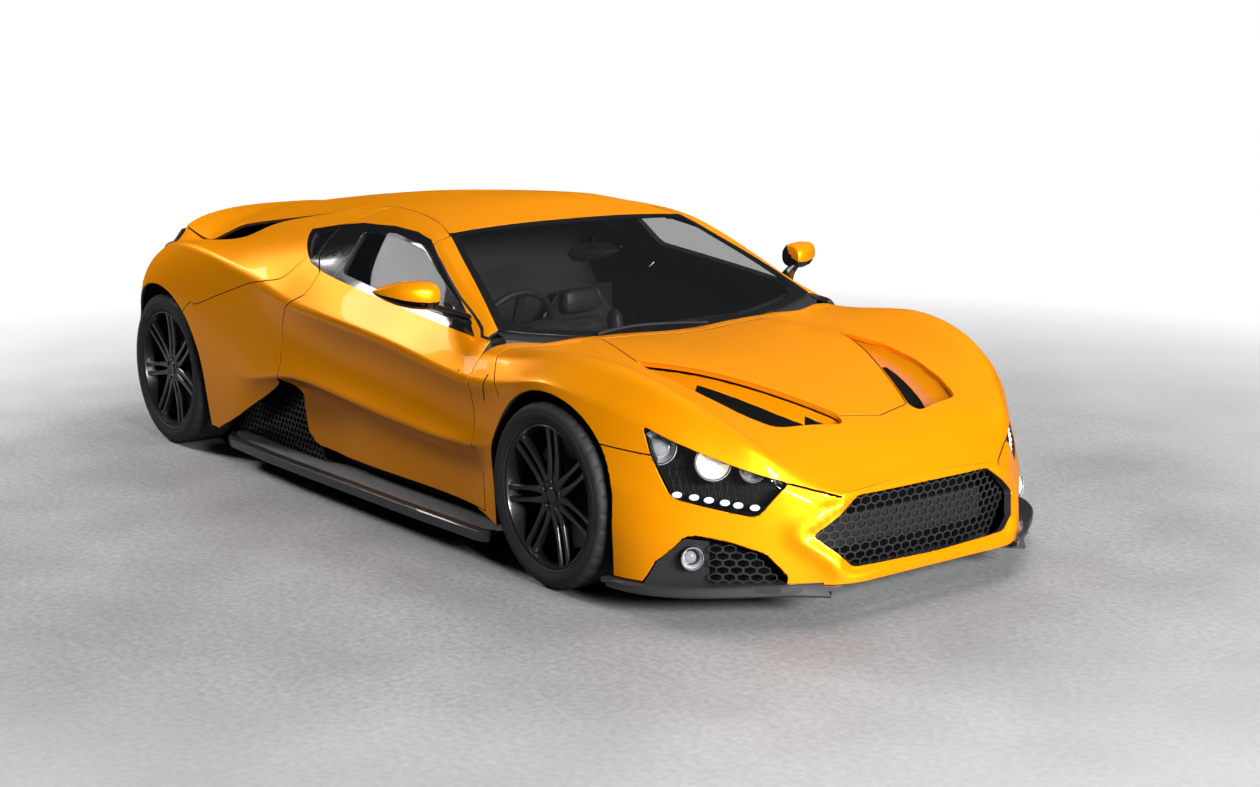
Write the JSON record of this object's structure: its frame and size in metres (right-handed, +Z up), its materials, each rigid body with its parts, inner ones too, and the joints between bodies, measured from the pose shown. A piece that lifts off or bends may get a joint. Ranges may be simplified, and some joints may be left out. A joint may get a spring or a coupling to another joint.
{
  "type": "coupe car",
  "caption": "Low two-seat mid-engine coupe with opening doors and lids, steered front wheels, spoked rims, hexagonal grille mesh and bonnet vents.",
  "frame": {"origin": "on the ground under the middle of the car's length and width", "axes": "+X forward, +Y to the car's left, +Z up"},
  "size_m": [4.665, 2.194, 1.1996],
  "materials": {
    "paint": "gloss",
    "glass": "gloss",
    "tyre": "matt",
    "rim": "satin black",
    "disc": "machined",
    "metal": "cast",
    "structure": "satin",
    "carbon": "woven, clear coated",
    "black_plastic": "matt",
    "lamp": "gloss",
    "leather": "satin"
  },
  "bodies": {
    "car": {"arch_liners": "black_plastic", "dashboard": "black_plastic", "diffuser": "carbon", "engine_block": "metal", "fixed_glass": "glass", "frame_rails": "structure", "front_bumper": "paint", "front_clam": "paint", "grille_mesh": "black_plastic", "headlamps": "lamp", "quarter_left": "paint", "quarter_right": "paint", "roof": "paint", "seats": "leather", "skirts": "carbon", "splitter": "carbon", "suspension_arms": "metal", "tail_lamps": "lamp", "tail_panel": "carbon", "tub": "structure", "upright_rear_left": "metal", "upright_rear_right": "metal"},
    "wheel_front_left": {"tyre_front_left": "tyre", "rim_front_left": "rim", "disc_front_left": "disc"},
    "wheel_front_right": {"tyre_front_right": "tyre", "rim_front_right": "rim", "disc_front_right": "disc"},
    "wheel_rear_left": {"tyre_rear_left": "tyre", "rim_rear_left": "rim", "disc_rear_left": "disc"},
    "wheel_rear_right": {"tyre_rear_right": "tyre", "rim_rear_right": "rim", "disc_rear_right": "disc"},
    "knuckle_left": {"upright_front_left": "metal"},
    "door_left": {"door_left": "paint", "door_glass_left": "glass", "mirror_left": "paint"},
    "knuckle_right": {"upright_front_right": "metal"},
    "door_right": {"door_right": "paint", "door_glass_right": "glass", "mirror_right": "paint"},
    "bonnet": {"bonnet": "paint"},
    "engine_lid": {"engine_cover": "paint"},
    "steering": {"steering_wheel": "black_plastic"}
  },
  "joints": [
    {"name": "steer_left", "type": "hinge", "parent": "car", "child": "knuckle_left", "pos_m": [1.4025, 0.785, 0.33], "axis": [0, 0, 1], "range_deg": [-28, 28]},
    {"name": "steer_right", "type": "hinge", "parent": "car", "child": "knuckle_right", "pos_m": [1.4025, -0.785, 0.33], "axis": [0, 0, 1], "range_deg": [-28, 28]},
    {"name": "steering_turn", "type": "hinge", "parent": "car", "child": "steering", "pos_m": [0.3737, -0.385, 0.72], "axis": [-0.9272, 0, 0.3746], "range_deg": [-360, 360]},
    {"name": "spin_front_left", "type": "hinge", "parent": "knuckle_left", "child": "wheel_front_left", "pos_m": [1.4025, 0.84, 0.33], "axis": [0, 1, 0], "continuous": true},
    {"name": "spin_rear_left", "type": "hinge", "parent": "car", "child": "wheel_rear_left", "pos_m": [-1.6525, 0.82, 0.354], "axis": [0, 1, 0], "continuous": true},
    {"name": "door_left_hinge", "type": "hinge", "parent": "car", "child": "door_left", "pos_m": [0.83, 0.935, 0.44], "axis": [0, 0, -1], "range_deg": [0, 60]},
    {"name": "spin_front_right", "type": "hinge", "parent": "knuckle_right", "child": "wheel_front_right", "pos_m": [1.4025, -0.84, 0.33], "axis": [0, 1, 0], "continuous": true},
    {"name": "spin_rear_right", "type": "hinge", "parent": "car", "child": "wheel_rear_right", "pos_m": [-1.6525, -0.82, 0.354], "axis": [0, 1, 0], "continuous": true},
    {"name": "door_right_hinge", "type": "hinge", "parent": "car", "child": "door_right", "pos_m": [0.83, -0.935, 0.44], "axis": [0, 0, 1], "range_deg": [0, 60]},
    {"name": "bonnet_hinge", "type": "hinge", "parent": "car", "child": "bonnet", "pos_m": [1.035, 0, 0.76822], "axis": [0, -1, 0], "range_deg": [0, 45]},
    {"name": "engine_lid_hinge", "type": "hinge", "parent": "car", "child": "engine_lid", "pos_m": [-2.28, 0, 0.925], "axis": [0, -1, 0], "range_deg": [0, 45]}
  ],
  "couplings": [
    {"joint": "steer_right", "follows": "steer_left", "ratio": 1},
    {"joint": "steering_turn", "follows": "steer_left", "ratio": 12}
  ]
}
